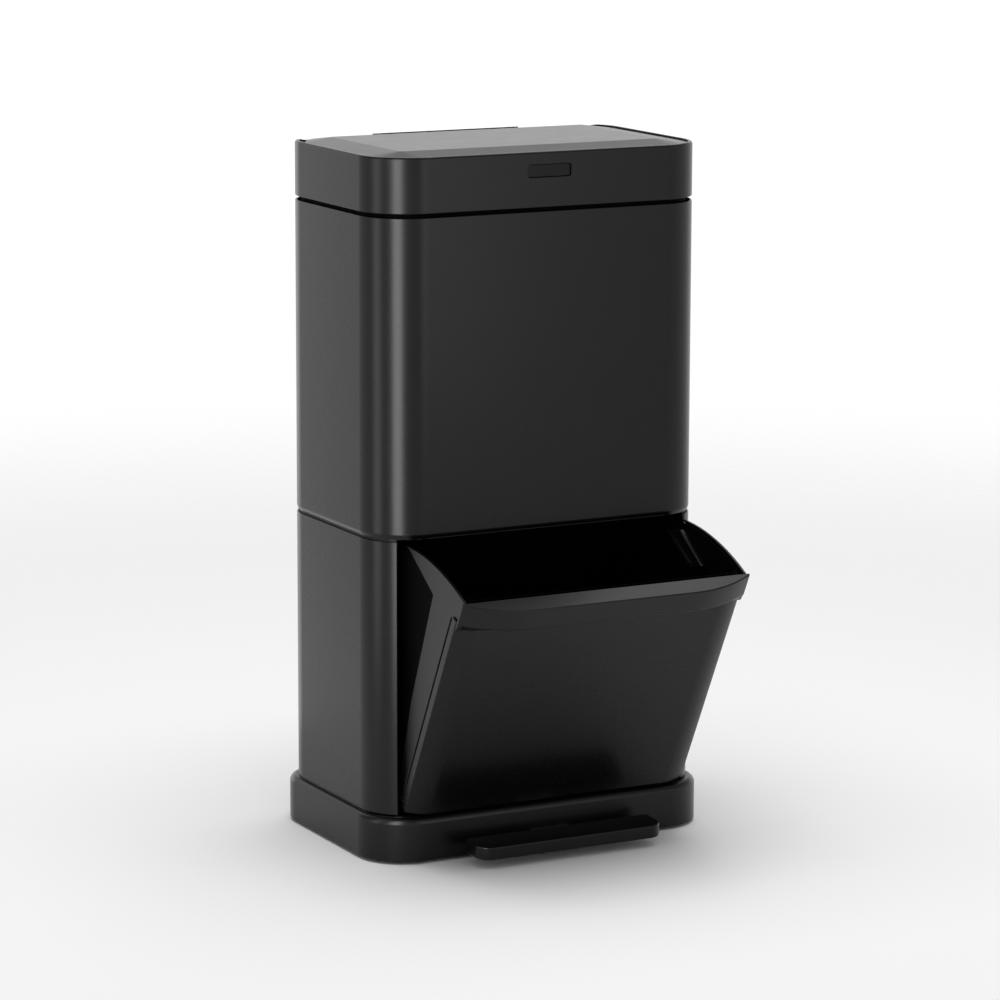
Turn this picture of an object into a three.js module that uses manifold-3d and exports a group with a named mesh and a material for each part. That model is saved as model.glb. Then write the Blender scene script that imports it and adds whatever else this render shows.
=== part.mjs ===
// Two-tier pedal bin: a lidded upper bin over a tilt-out lower bin, on a plinth with a pedal.
// Millimetres, +Z up, front towards -Y, origin on the floor under the middle of the base.
// The tilt-out bin stands open, the lid is shut and the pedal is up.

import * as THREE from 'three';
import { mergeVertices } from 'three/addons/utils/BufferGeometryUtils.js';
import Module from 'manifold-3d';

const wasm = await Module();
wasm.setup();

// ---------------------------------------------------------------- driving dimensions

const SHELL = { halfW: 215.3, halfD: 138.9, radius: 60, y: 0 };
const BASE = { halfW: 223.2, halfD: 146.8, radius: 60, y: 0 };
const COAMING = { halfW: 172, halfD: 90, radius: 40, y: -14 };
const LINER = { halfW: 186, halfD: 96, radius: 40, y: -16 };
const PAN = { halfW: 195, halfD: 118, radius: 40, y: 0 };
const SHEET = 1;
const GAP = 0.3;
const CORNER_STEPS = 8;
const SMALL_CORNER_STEPS = 3;
const ROUND_STEPS = 12;

const SKIRT_BOTTOM = 4;
const DECK_UNDERSIDE = 50;
const BASE_TOP = 55.2;
const LOWER_SHELL = [56.4, 380.9];
const UPPER_SHELL = [383.4, 754.8];
const MID_DECK = [383.8, 389.8];
const COLLAR_BOTTOM = 759.8;
const COLLAR_TOP = 824;
const COLLAR_REAR_TOP = 820.4;
const HINGE_COVER_TOP = 826.2;
const COLLAR_WALL = 5.2;
const SHELF = [786, 790];
const COAMING_TOP = 806;

const OPENING_HALF_W = 188.4;
const TILT_PIVOT = { y: -128, z: 52 };
const TILT_OPEN_DEG = 27.5;
const TILT_RADIUS = 326;
const TILT_PANEL = [64.5, 349];
const TILT_RIM = [350, 378];
const TILT_HALF_W = 187;

const LID_AXIS = { y: 104, z: 817 };
const LID_EDGE_INSET = 6.5;
const LID_EDGE = [816, 822];
const LID_FLAT_TOP = 827;
const LID_BEVEL = 40;
const LID_REAR = { halfD: 131, radius: 70 };

const PEDAL_AXIS = { y: -100, z: 24 };
const PEDAL = { halfW: 122, back: -164, front: -207.5, thickness: 15.5, middleZ: 20.5, slopeDeg: 3.3 };
const ROD = { y: 118, radius: 4, bottom: 14.6, top: 795.2 };
const CRANK_PIN = { y: 88, z: 811 };

// ---------------------------------------------------------------- materials

const material = (color, roughness, metalness = 0) =>
  new THREE.MeshStandardMaterial({ color, roughness, metalness });

const BLACK_STEEL = material(0x2c2c2e, 0.35, 0.3);
const BLACK_PLASTIC = material(0x232325, 0.45);
const DEEP_PLASTIC = material(0x141415, 0.6);
const PAIL_PLASTIC = material(0x1b1b1c, 0.5);
const BARE_STEEL = material(0x9a9c9e, 0.35, 0.9);
const RUBBER = material(0x0e0e0e, 0.85);
const NYLON = material(0x4a4a4a, 0.55);

// ---------------------------------------------------------------- geometry helpers

function shrink(base, amount) {
  return {
    halfW: base.halfW - amount,
    halfD: base.halfD - amount,
    radius: Math.max(base.radius - amount, 1),
    y: base.y,
    steps: base.steps,
  };
}

// Rounded rectangle, counter-clockwise seen from above.
function outline(base) {
  const points = [];
  const corners = [[1, 1, 0], [-1, 1, 90], [-1, -1, 180], [1, -1, 270]];
  const steps = base.steps ?? CORNER_STEPS;
  for (const [sideX, sideY, start] of corners) {
    for (let i = 0; i <= steps; i += 1) {
      const angle = THREE.MathUtils.degToRad(start + (90 * i) / steps);
      const x = sideX * (base.halfW - base.radius) + base.radius * Math.cos(angle);
      const y = base.y + sideY * (base.halfD - base.radius) + base.radius * Math.sin(angle);
      points.push(new THREE.Vector2(x, y));
    }
  }
  return points;
}

const atHeight = (points, z) => points.map((p) => new THREE.Vector3(p.x, p.y, z));

function meshFrom(rings, index) {
  const geometry = new THREE.BufferGeometry();
  const positions = rings.flat().flatMap((p) => [p.x, p.y, p.z]);
  geometry.setAttribute('position', new THREE.Float32BufferAttribute(positions, 3));
  geometry.setIndex(index);
  return geometry;
}

function sideFaces(count, from, to) {
  const faces = [];
  for (let i = 0; i < count; i += 1) {
    const next = (i + 1) % count;
    faces.push(from + i, from + next, to + i);
    faces.push(from + next, to + next, to + i);
  }
  return faces;
}

// Solid through a stack of rings, lowest first, with flat ends.
function loft(rings) {
  const count = rings[0].length;
  const index = [];
  for (let r = 0; r + 1 < rings.length; r += 1) {
    index.push(...sideFaces(count, r * count, (r + 1) * count));
  }
  const flat = (ring) => THREE.ShapeUtils.triangulateShape(
    ring.map((p) => new THREE.Vector2(p.x, p.y)), []);
  flat(rings[0]).forEach(([a, b, c]) => index.push(a, c, b));
  const last = (rings.length - 1) * count;
  flat(rings[rings.length - 1]).forEach(([a, b, c]) => index.push(last + a, last + b, last + c));
  return meshFrom(rings, index);
}

// Closed band round the outline of base. The profile is a loop of [inset, z], up the outside first.
function band(base, profile) {
  const rings = profile.map(([inset, z]) => atHeight(outline(shrink(base, inset)), z));
  const count = rings[0].length;
  const index = [];
  rings.forEach((ring, r) => {
    index.push(...sideFaces(count, r * count, ((r + 1) % rings.length) * count));
  });
  return meshFrom(rings, index);
}

function slab(points, [bottom, top], hole = null) {
  const shape = new THREE.Shape(points);
  if (hole) {
    shape.holes.push(new THREE.Path(hole));
  }
  const geometry = new THREE.ExtrudeGeometry(shape, { depth: top - bottom, bevelEnabled: false });
  return geometry.translate(0, 0, bottom);
}

function block([x0, x1], [y0, y1], [z0, z1]) {
  const geometry = new THREE.BoxGeometry(x1 - x0, y1 - y0, z1 - z0);
  return geometry.translate((x0 + x1) / 2, (y0 + y1) / 2, (z0 + z1) / 2);
}

// Plate standing in a Y-Z plane between two X values, from a list of [y, z] points.
function sidePlate(points, [x0, x1]) {
  const shape = new THREE.Shape(points.map(([y, z]) => new THREE.Vector2(y, z)));
  const geometry = new THREE.ExtrudeGeometry(shape, { depth: x1 - x0, bevelEnabled: false });
  const yToX = new THREE.Matrix4().set(0, 0, 1, x0, 1, 0, 0, 0, 0, 1, 0, 0, 0, 0, 0, 1);
  return geometry.applyMatrix4(yToX);
}

function rodAlongX(radius, [x0, x1], { y, z }) {
  const geometry = new THREE.CylinderGeometry(radius, radius, x1 - x0, ROUND_STEPS);
  return geometry.rotateZ(Math.PI / 2).translate((x0 + x1) / 2, y, z);
}

function rodAlongZ(radius, [z0, z1], x, y) {
  const geometry = new THREE.CylinderGeometry(radius, radius, z1 - z0, ROUND_STEPS);
  return geometry.rotateX(Math.PI / 2).translate(x, y, (z0 + z1) / 2);
}

function solidOf(geometry) {
  const bare = geometry.clone();
  bare.deleteAttribute('normal');
  bare.deleteAttribute('uv');
  const merged = mergeVertices(bare, 1e-4);
  return new wasm.Manifold(new wasm.Mesh({
    numProp: 3,
    vertProperties: new Float32Array(merged.attributes.position.array),
    triVerts: new Uint32Array(merged.index.array),
  }));
}

function combine(first, { add = [], cut = [] }) {
  let solid = solidOf(first);
  for (const piece of add) {
    solid = solid.add(solidOf(piece));
  }
  for (const tool of cut) {
    solid = solid.subtract(solidOf(tool));
  }
  return geometryOf(solid);
}

function geometryOf(solid) {
  const mesh = solid.getMesh();
  const geometry = new THREE.BufferGeometry();
  geometry.setAttribute('position', new THREE.BufferAttribute(mesh.vertProperties, 3));
  geometry.setIndex(new THREE.BufferAttribute(mesh.triVerts, 1));
  return geometry;
}

const mirrored = ([low, high], side) => (side > 0 ? [low, high] : [-high, -low]);

// ---------------------------------------------------------------- base and pedal housing

const PAN_SCREWS = [[170, 98], [-170, 98], [-170, -98], [170, -98]];
const FOOT_PADS = [[125, 92], [-125, 92], [-125, -92], [125, -92]];
const PIVOT_SLOT_X = [148, 160];
const GUIDE_HALF = 8.5;

function guideHole([bottom, top]) {
  return block([-GUIDE_HALF, GUIDE_HALF], [ROD.y - GUIDE_HALF, ROD.y + GUIDE_HALF], [bottom, top]);
}

function basePlinth() {
  const edge = 8;
  const rings = [atHeight(outline(shrink(BASE, 1.5)), SKIRT_BOTTOM), atHeight(outline(BASE), SKIRT_BOTTOM + 1.5)];
  for (const degrees of [0, 22.5, 45, 67.5, 90]) {
    const angle = THREE.MathUtils.degToRad(degrees);
    const inset = edge * (1 - Math.cos(angle));
    rings.push(atHeight(outline(shrink(BASE, inset)), BASE_TOP - edge * (1 - Math.sin(angle))));
  }
  const cavity = slab(outline(shrink(BASE, 3)), [0, DECK_UNDERSIDE]);
  const hollow = combine(loft(rings), { cut: [cavity] });
  const add = [];
  const cut = [guideHole([DECK_UNDERSIDE - 1, BASE_TOP + 1])];
  cut.push(block([-34, 34], [-150, -140], [0, 25]));
  for (const [x, y] of PAN_SCREWS) {
    add.push(rodAlongZ(6, [3 + GAP, DECK_UNDERSIDE + 1], x, y));
    cut.push(rodAlongZ(2.3, [0, 20], x, y));
  }
  for (const side of [1, -1]) {
    add.push(block(mirrored([139, 169], side), [-140, -115], [42, DECK_UNDERSIDE + 2]));
    cut.push(block(mirrored(PIVOT_SLOT_X, side), [-138, -118], [40, BASE_TOP + 1]));
    cut.push(rodAlongX(2.8, mirrored([142.5, 165.5], side), TILT_PIVOT));
  }
  return combine(hollow, { add, cut });
}

const PAN_TOP = 3;
const PAD_HALF = [22, 7];

function padOutline([x, y], margin) {
  const pad = {
    halfW: PAD_HALF[0] + margin,
    halfD: PAD_HALF[1] + margin,
    radius: 5 + margin,
    y,
    steps: SMALL_CORNER_STEPS,
  };
  return outline(pad).map((p) => new THREE.Vector2(p.x + x, p.y));
}

function basePan() {
  const cut = FOOT_PADS.map((place) => slab(padOutline(place, GAP), [-1, 2.2]));
  for (const [x, y] of PAN_SCREWS) {
    cut.push(rodAlongZ(4.3, [-1, 2.5], x, y));
    cut.push(rodAlongZ(2.4, [2, PAN_TOP + 1], x, y));
  }
  return combine(slab(outline(PAN), [0, PAN_TOP]), { cut });
}

function footPad(place) {
  return slab(padOutline(place, 0), [0, 1.9]);
}

function panScrew([x, y]) {
  return combine(rodAlongZ(4, [0.4, 2.2], x, y), { add: [rodAlongZ(2, [2, 16], x, y)] });
}

function pedalBracket(side) {
  const span = mirrored([28, 32], side);
  const { y, z } = PEDAL_AXIS;
  const foot = sidePlate([[y - 13, PAN_TOP + GAP], [y + 13, PAN_TOP + GAP], [y + 9, z], [y - 9, z]], span);
  return combine(foot, { add: [rodAlongX(9, span, PEDAL_AXIS)], cut: [rodAlongX(3.4, [-40, 40], PEDAL_AXIS)] });
}

function restPad(side) {
  return block(mirrored([95, 125], side), [35, 50], [BASE_TOP + GAP, 66 - GAP]);
}

// ---------------------------------------------------------------- pedal and lift rod

function pedalPlate() {
  const halfD = (PEDAL.back - PEDAL.front) / 2;
  const frontR = 18;
  const backR = 5;
  const edge = 1.4;
  const shape = new THREE.Shape();
  const w = PEDAL.halfW - edge;
  const d = halfD - edge;
  shape.moveTo(-w + frontR, -d);
  shape.lineTo(w - frontR, -d);
  shape.absarc(w - frontR, -d + frontR, frontR, -Math.PI / 2, 0);
  shape.absarc(w - backR, d - backR, backR, 0, Math.PI / 2);
  shape.absarc(-w + backR, d - backR, backR, Math.PI / 2, Math.PI);
  shape.absarc(-w + frontR, -d + frontR, frontR, Math.PI, 1.5 * Math.PI);
  const plate = new THREE.ExtrudeGeometry(shape, {
    depth: PEDAL.thickness - 2 * edge,
    bevelThickness: edge,
    bevelSize: edge,
    bevelSegments: 1,
    curveSegments: 5,
  });
  plate.translate(0, 0, -PEDAL.thickness / 2 + edge);
  plate.rotateX(THREE.MathUtils.degToRad(PEDAL.slopeDeg));
  plate.translate(0, (PEDAL.back + PEDAL.front) / 2, PEDAL.middleZ);
  return combine(plate, { cut: [block([-25.5, 25.5], [-188, -160], [14.2, 23.8])] });
}

function pedalLever() {
  const { y, z } = PEDAL_AXIS;
  const front = sidePlate([[-187, 14.8], [y, 17], [y, 27], [-187, 21.5]], [-25, 25]);
  const rear = sidePlate([[y, 18], [112, 8.5], [124, 8.5], [124, 13.8], [112, 14], [y, 27]], [-12, 12]);
  const boss = rodAlongX(7.5, [-25, 25], { y, z });
  return combine(front, { add: [boss, rear], cut: [rodAlongX(3.4, [-40, 40], PEDAL_AXIS)] });
}

function liftRod() {
  return rodAlongZ(ROD.radius, [ROD.bottom, ROD.top], 0, ROD.y);
}

function liftRodHead() {
  const body = block([-7, 7], [ROD.y - 18, ROD.y + 6], [792.4, 797.2]);
  const pad = block([-7, 7], [83, ROD.y - 17], [793.4, 806.5]);
  const socket = rodAlongZ(ROD.radius + GAP, [790, ROD.top + GAP], 0, ROD.y);
  return combine(body, { add: [pad], cut: [socket] });
}

function rodGuide([bottom, top], flangeBottom) {
  const half = GUIDE_HALF - GAP;
  const body = block([-half, half], [ROD.y - half, ROD.y + half], [bottom, flangeBottom + 0.5]);
  const flange = block([-10.5, 10.5], [ROD.y - 10.5, ROD.y + 10.5], [flangeBottom, top]);
  const bore = rodAlongZ(ROD.radius + GAP, [bottom - 1, top + 1], 0, ROD.y);
  return combine(body, { add: [flange], cut: [bore] });
}

function rodChannel([bottom, top], rear) {
  const outside = block([-16, 16], [100, rear], [bottom, top]);
  return combine(outside, { cut: [block([-14, 14], [102, rear + 1], [bottom - 1, top + 1])] });
}

// ---------------------------------------------------------------- shells, deck, neck and collar

function lowerShell() {
  const [bottom, top] = LOWER_SHELL;
  const wrap = band(SHELL, [[0, bottom], [0, top], [SHEET, top], [SHEET, bottom]]);
  const doorway = block([-OPENING_HALF_W, OPENING_HALF_W], [-150, -100], [bottom - 1, top + 1]);
  const hems = [1, -1].map((side) => block(
    mirrored([OPENING_HALF_W, OPENING_HALF_W + SHEET], side), [-128.6, -119], [bottom, top]));
  return combine(wrap, { cut: [doorway], add: hems });
}

function upperShell() {
  const [bottom, top] = UPPER_SHELL;
  return band(SHELL, [[0, bottom], [0, top], [SHEET, top], [SHEET, bottom]]);
}

function midDeck() {
  const [bottom, top] = MID_DECK;
  const lip = band(SHELL, [[2.5, 377.5], [2.5, bottom + 1], [6, bottom + 1], [6, 377.5]]);
  const clearance = block([-190, 190], [-150, -100], [370, bottom]);
  return combine(slab(outline(shrink(SHELL, 1.5)), [bottom, top]), {
    add: [lip],
    cut: [clearance, guideHole([bottom - 1, top + 1])],
  });
}

function neckRing() {
  const inside = SHEET + GAP;
  return band(SHELL, [[inside, 735], [inside, 749.5], [4, 749.5], [4, 759.5], [9, 759.5], [9, 735]]);
}

const BUTTON_SLOT = { halfW: 28.5, z: [794, 809.5] };

function collar() {
  const wall = band(SHELL, [
    [0.8, COLLAR_BOTTOM], [0, COLLAR_BOTTOM + 0.8], [0, COLLAR_TOP - 3], [0.9, COLLAR_TOP - 0.9],
    [3, COLLAR_TOP], [COLLAR_WALL, COLLAR_TOP], [COLLAR_WALL, COLLAR_BOTTOM]]);
  const mouth = outline(shrink(COAMING, 3));
  const shelf = slab(outline(shrink(SHELL, 3)), SHELF, mouth);
  const coaming = slab(outline(COAMING), [SHELF[0], COAMING_TOP], mouth);
  const housing = block([-36, 36], [-135, -127.5], [SHELF[1] - 1, 812]);
  const { halfW, z } = BUTTON_SLOT;
  const rearDip = sidePlate([
    [112, COLLAR_TOP], [128, COLLAR_REAR_TOP], [145, COLLAR_REAR_TOP], [145, 830], [112, 830]], [-230, 230]);
  return combine(wall, {
    add: [shelf, coaming, housing],
    cut: [block([-halfW, halfW], [-140, -132.5], z), guideHole([SHELF[0] - 1, SHELF[1] + 1]), rearDip],
  });
}

function lidButton() {
  const margin = 1.3;
  const radius = 2.5;
  const { halfW, z } = BUTTON_SLOT;
  const face = {
    halfW: halfW - margin,
    halfD: (z[1] - z[0]) / 2 - margin,
    radius,
    y: 0,
    steps: SMALL_CORNER_STEPS,
  };
  const button = slab(outline(face), [0, 2.2]);
  return button.rotateX(Math.PI / 2).translate(0, -135.2, (z[0] + z[1]) / 2);
}

// ---------------------------------------------------------------- lid and its hinge

function lidShell() {
  const edge = shrink(SHELL, LID_EDGE_INSET);
  const flat = { ...shrink(edge, LID_BEVEL), radius: 4 };
  const [bottom, top] = LID_EDGE;
  const wall = 2.5;
  const outside = loft([
    atHeight(outline(edge), bottom),
    atHeight(outline(edge), top - 0.8),
    atHeight(outline(shrink(edge, 0.8)), top),
    atHeight(outline(flat), LID_FLAT_TOP),
  ]);
  const inside = loft([
    atHeight(outline(shrink(edge, wall)), bottom - 1),
    atHeight(outline(shrink(edge, wall)), top - wall + 0.1),
    atHeight(outline(flat), LID_FLAT_TOP - wall),
  ]);
  const hingeNotch = block([-94, 94], [LID_AXIS.y + 2.5, 150], [800, 840]);
  return combine(outside, { cut: [inside, hingeNotch, lidRearTrim(edge)] });
}

// The rear corners are rounder than the collar's, so that they clear it as the lid turns.
function lidRearTrim(edge) {
  const rear = slab(outline({ ...edge, ...LID_REAR }), [799, 841]);
  return combine(block([-230, 230], [LID_REAR.halfD - LID_REAR.radius, 160], [800, 840]), { cut: [rear] });
}

function lidLiner() {
  const rim = slab(outline(LINER), [812.5, 821.3], outline(shrink(LINER, 3)));
  return combine(slab(outline(LINER), [812.5, 815.3]), { add: [rim] });
}

function lidSeal() {
  return slab(outline(shrink(COAMING, -3.5)), [COAMING_TOP + GAP, 812.2], outline(shrink(COAMING, 6.5)));
}

function lidArm(side) {
  const span = mirrored([79, 87], side);
  const { y, z } = LID_AXIS;
  const bar = sidePlate([[82, 813], [y, z - 4.3], [y, z + 4.3], [82, 821.8]], span);
  return combine(bar, { add: [rodAlongX(4.5, span, LID_AXIS)], cut: [rodAlongX(2.7, [-100, 100], LID_AXIS)] });
}

function hingeEar(side) {
  const span = mirrored([69, 77], side);
  const { y, z } = LID_AXIS;
  const post = sidePlate([[y - 7, SHELF[1] + GAP], [y + 7, SHELF[1] + GAP], [y + 4.4, z], [y - 4.4, z]], span);
  return combine(post, { add: [rodAlongX(4.6, span, LID_AXIS)], cut: [rodAlongX(2.7, [-100, 100], LID_AXIS)] });
}

function hingePin(side) {
  return rodAlongX(2.4, mirrored([68.5, 88.5], side), LID_AXIS);
}

// Its top falls to the rear like the lid's bevel, and its rear foot stands on the collar's low rear rim.
function hingeCover() {
  const rear = SHELL.halfD - 0.7;
  const foot = SHELL.halfD - COLLAR_WALL - GAP;
  const seat = COLLAR_REAR_TOP + GAP;
  const outside = sidePlate([
    [111.6, 822.2], [foot, 822.2], [foot, seat], [rear, seat], [rear, 823.2], [111.6, HINGE_COVER_TOP]],
  [-91.5, 91.5]);
  const inside = sidePlate([[113.6, 821], [131.4, 821], [131.4, 822.4], [113.6, 824.4]], [-89, 89]);
  return combine(outside, { cut: [inside] });
}

function lidCrank() {
  const { y, z } = CRANK_PIN;
  const bridge = block([-12, 12], [y - 4, y + 12], [818.6, 821.9]);
  const add = [];
  for (const side of [1, -1]) {
    const span = mirrored([9, 12], side);
    add.push(sidePlate([[y - 4.5, z], [y + 4.5, z], [y + 12, 819.5], [y - 4, 819.5]], span));
    add.push(rodAlongX(5, span, CRANK_PIN));
  }
  return combine(bridge, { add, cut: [rodAlongX(2.5, [-20, 20], CRANK_PIN)] });
}

function lidRoller() {
  return combine(rodAlongX(4, [-8, 8], CRANK_PIN), { add: [rodAlongX(2.2, [-12.8, 12.8], CRANK_PIN)] });
}

// ---------------------------------------------------------------- pails

// Finger pocket moulded into a pail's side wall: it swells inwards and is open outwards.
function fingerPockets(wallX, [z0, z1], middleY) {
  const swells = [1, -1].map((side) => block(
    mirrored([wallX - 12, wallX - 1], side), [middleY - 45, middleY + 45], [z0, z1]));
  const hollows = [1, -1].map((side) => block(
    mirrored([wallX - 9.5, wallX + 5], side), [middleY - 42, middleY + 42], [z0 + 3, z1 - 3]));
  return { swells, hollows };
}

function upperPail() {
  const top = 798;
  const bottom = MID_DECK[1] + GAP;
  const mouth = shrink(COAMING, 6);
  const foot = shrink(COAMING, 16);
  const wall = 3;
  const inside = loft([
    atHeight(outline(shrink(foot, wall)), bottom + wall),
    atHeight(outline(shrink(mouth, wall)), top + 1),
  ]);
  const outside = loft([atHeight(outline(foot), bottom), atHeight(outline(mouth), top)]);
  const { swells, hollows } = fingerPockets(mouth.halfW - 1, [752, 778], COAMING.y);
  return combine(combine(outside, { cut: [inside] }), { add: swells, cut: hollows });
}

const LOWER_PAIL = { halfW: 180.3, halfD: 113, radius: 14, y: -18 };

// Slanting finger pocket in each side wall, open outwards, following the wall's arc-shaped top.
function lowerPailPockets() {
  const wallX = LOWER_PAIL.halfW;
  const swells = [1, -1].map((side) => sidePlate(
    [[-45, 317], [25, 322], [-5, 345], [-67, 338]], mirrored([wallX - 12, wallX - 1], side)));
  const hollows = [1, -1].map((side) => sidePlate(
    [[-43, 320], [18, 324.5], [-6, 341.5], [-62, 335.5]], mirrored([wallX - 9.5, wallX + 5], side)));
  return { swells, hollows };
}

function lowerPail() {
  const bottom = 69.4;
  const top = 372;
  const wall = 3;
  const outside = slab(outline(LOWER_PAIL), [bottom, top]);
  const inside = slab(outline(shrink(LOWER_PAIL, wall)), [bottom + wall, top + 1]);
  const { swells, hollows } = lowerPailPockets();
  const pail = combine(combine(outside, { cut: [inside] }), { add: swells, cut: hollows });
  const sweep = new THREE.CylinderGeometry(TILT_RADIUS - 2, TILT_RADIUS - 2, 500, 96);
  sweep.rotateZ(Math.PI / 2).translate(0, TILT_PIVOT.y, TILT_PIVOT.z);
  return geometryOf(solidOf(pail).intersect(solidOf(sweep)));
}

// ---------------------------------------------------------------- tilt-out carrier, drawn shut

// Front face of the body at a given X: flat, then round the corner.
function frontFace(x, proud) {
  const flatHalf = SHELL.halfW - SHELL.radius;
  const along = Math.max(Math.abs(x) - flatHalf, 0);
  const radius = SHELL.radius + proud;
  return -(SHELL.halfD - SHELL.radius) - Math.sqrt(radius * radius - along * along);
}

function acrossX(half, count) {
  const xs = [];
  for (let i = 0; i <= count; i += 1) {
    xs.push(-half * Math.cos((Math.PI * i) / count));
  }
  return xs;
}

function tiltPanel() {
  const half = TILT_HALF_W - 1;
  const xs = acrossX(half, 16);
  const front = xs.map((x) => new THREE.Vector2(x, frontFace(x, 0)));
  const flangeEnd = frontFace(half, 0) + 9.5;
  const back = acrossX(half - SHEET, 16).reverse().map((x) => new THREE.Vector2(x, frontFace(x, -SHEET)));
  const points = [
    ...front, new THREE.Vector2(half, flangeEnd), new THREE.Vector2(half - SHEET, flangeEnd),
    ...back, new THREE.Vector2(-half + SHEET, flangeEnd), new THREE.Vector2(-half, flangeEnd),
  ];
  return slab(points, TILT_PANEL);
}

// Lip of the pull rim: straight in the middle, curving back towards the ends.
function lipFront(x) {
  const straight = 105;
  const reach = 158;
  const radius = 170;
  const along = Math.max(Math.abs(x) - straight, 0);
  return -reach + radius - Math.sqrt(radius * radius - along * along);
}

function tiltRim() {
  const [bottom, top] = TILT_RIM;
  const inner = -134;
  const xs = acrossX(TILT_HALF_W, 22);
  const ring = (frontAt, backAt, z) => [
    ...xs.map((x) => new THREE.Vector3(x, frontAt(x), z)),
    ...xs.slice().reverse().map((x) => new THREE.Vector3(x, backAt(x), z)),
  ];
  const lowFront = (x) => Math.min(frontFace(x, 1.2), -134.9);
  const lowBack = (x) => Math.min(frontFace(x, GAP), -134.3);
  return loft([
    ring(lowFront, lowBack, bottom - 9),
    ring(lipFront, lowBack, bottom),
    ring(lipFront, () => inner, bottom + 0.01),
    ring(lipFront, () => inner, top - 1.2),
    ring((x) => lipFront(x) + 1.2, () => inner, top),
  ]);
}

function tiltSide(side) {
  const { y, z } = TILT_PIVOT;
  const bottom = TILT_PANEL[0] + 3;
  const points = [[-129.6, bottom], [-104, bottom], [-80, 190], [-67, 338], [5, 346.5]];
  const arcEnd = 14;
  const steps = 10;
  for (let i = 0; i <= steps; i += 1) {
    const atY = arcEnd + ((-133.7 - arcEnd) * i) / steps;
    points.push([atY, z + Math.sqrt(TILT_RADIUS ** 2 - (atY - y) ** 2)]);
  }
  points.push([-133.7, TILT_RIM[0]], [-129.6, TILT_RIM[0]]);
  return sidePlate(points, mirrored([181, 184], side));
}

function tiltFloor() {
  const floor = block([-180, 180], [-130, 60], [66, 69]);
  const add = [block([-150, 150], [-137.3, -129], [66, 69])];
  const cut = [];
  for (const side of [1, -1]) {
    const span = mirrored([PIVOT_SLOT_X[0] + 1, PIVOT_SLOT_X[1] - 1], side);
    const { y, z } = TILT_PIVOT;
    add.push(sidePlate([[y - 5.5, z], [y + 5.5, z], [y + 9, 66.5], [y - 7, 66.5]], span));
    add.push(rodAlongX(6, span, TILT_PIVOT));
    cut.push(rodAlongX(2.8, span.map((x, i) => x + (i ? 2 : -2)), TILT_PIVOT));
  }
  return combine(floor, { add, cut });
}

function tiltBacking() {
  return block([-155, 155], [-137.3, -134.9], [69.4, TILT_PANEL[1]]);
}

function tiltPin(side) {
  return rodAlongX(2.5, mirrored([143, 165], side), TILT_PIVOT);
}

// ---------------------------------------------------------------- assembly

const bin = new THREE.Group();

function place(name, geometry, finish, parent = bin) {
  const mesh = new THREE.Mesh(geometry, finish);
  mesh.name = name;
  parent.add(mesh);
}

const SIDES = [['left', -1], ['right', 1]];

place('base_plinth', basePlinth(), BLACK_PLASTIC);
place('base_pan', basePan(), DEEP_PLASTIC);
FOOT_PADS.forEach((spot, i) => place(`foot_pad_${i + 1}`, footPad(spot), RUBBER));
PAN_SCREWS.forEach((spot, i) => place(`pan_screw_${i + 1}`, panScrew(spot), BARE_STEEL));
place('pedal_axle', rodAlongX(3, [-34, 34], PEDAL_AXIS), BARE_STEEL);
place('lower_shell', lowerShell(), BLACK_STEEL);
place('mid_deck', midDeck(), DEEP_PLASTIC);
place('upper_shell', upperShell(), BLACK_STEEL);
place('neck_ring', neckRing(), DEEP_PLASTIC);
place('collar', collar(), BLACK_PLASTIC);
place('hinge_cover', hingeCover(), BLACK_PLASTIC);
place('rod_channel_lower', rodChannel([57.5, 376], 137.2), DEEP_PLASTIC);
place('rod_channel_upper', rodChannel([390.5, 784], 129.5), DEEP_PLASTIC);
place('rod_guide_base', rodGuide([DECK_UNDERSIDE, 57], BASE_TOP + GAP), NYLON);
place('rod_guide_mid', rodGuide([MID_DECK[0], 391.6], MID_DECK[1] + GAP), NYLON);
place('rod_guide_top', rodGuide([SHELF[0], 791.8], SHELF[1] + GAP), NYLON);
place('upper_pail', upperPail(), PAIL_PLASTIC);
for (const [word, side] of SIDES) {
  place(`pedal_bracket_${word}`, pedalBracket(side), BARE_STEEL);
  place(`rest_pad_${word}`, restPad(side), RUBBER);
  place(`tilt_pin_${word}`, tiltPin(side), BARE_STEEL);
  place(`hinge_ear_${word}`, hingeEar(side), BLACK_PLASTIC);
  place(`hinge_pin_${word}`, hingePin(side), BARE_STEEL);
}

place('lid_button', lidButton(), DEEP_PLASTIC);

place('lid_shell', lidShell(), BLACK_PLASTIC);
place('lid_liner', lidLiner(), DEEP_PLASTIC);
place('lid_seal', lidSeal(), RUBBER);
place('lid_crank', lidCrank(), BARE_STEEL);
place('lid_roller', lidRoller(), NYLON);
for (const [word, side] of SIDES) {
  place(`lid_arm_${word}`, lidArm(side), BLACK_PLASTIC);
}

place('pedal_plate', pedalPlate(), BLACK_PLASTIC);
place('pedal_lever', pedalLever(), BARE_STEEL);
place('lift_rod', liftRod(), BARE_STEEL);
place('lift_rod_head', liftRodHead(), NYLON);

// The carrier is drawn shut and swung open about its pivot.
const carrier = new THREE.Group();
carrier.position.set(0, TILT_PIVOT.y, TILT_PIVOT.z);
carrier.rotation.x = THREE.MathUtils.degToRad(TILT_OPEN_DEG);
const shut = new THREE.Group();
shut.position.set(0, -TILT_PIVOT.y, -TILT_PIVOT.z);
carrier.add(shut);
bin.add(carrier);

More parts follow.
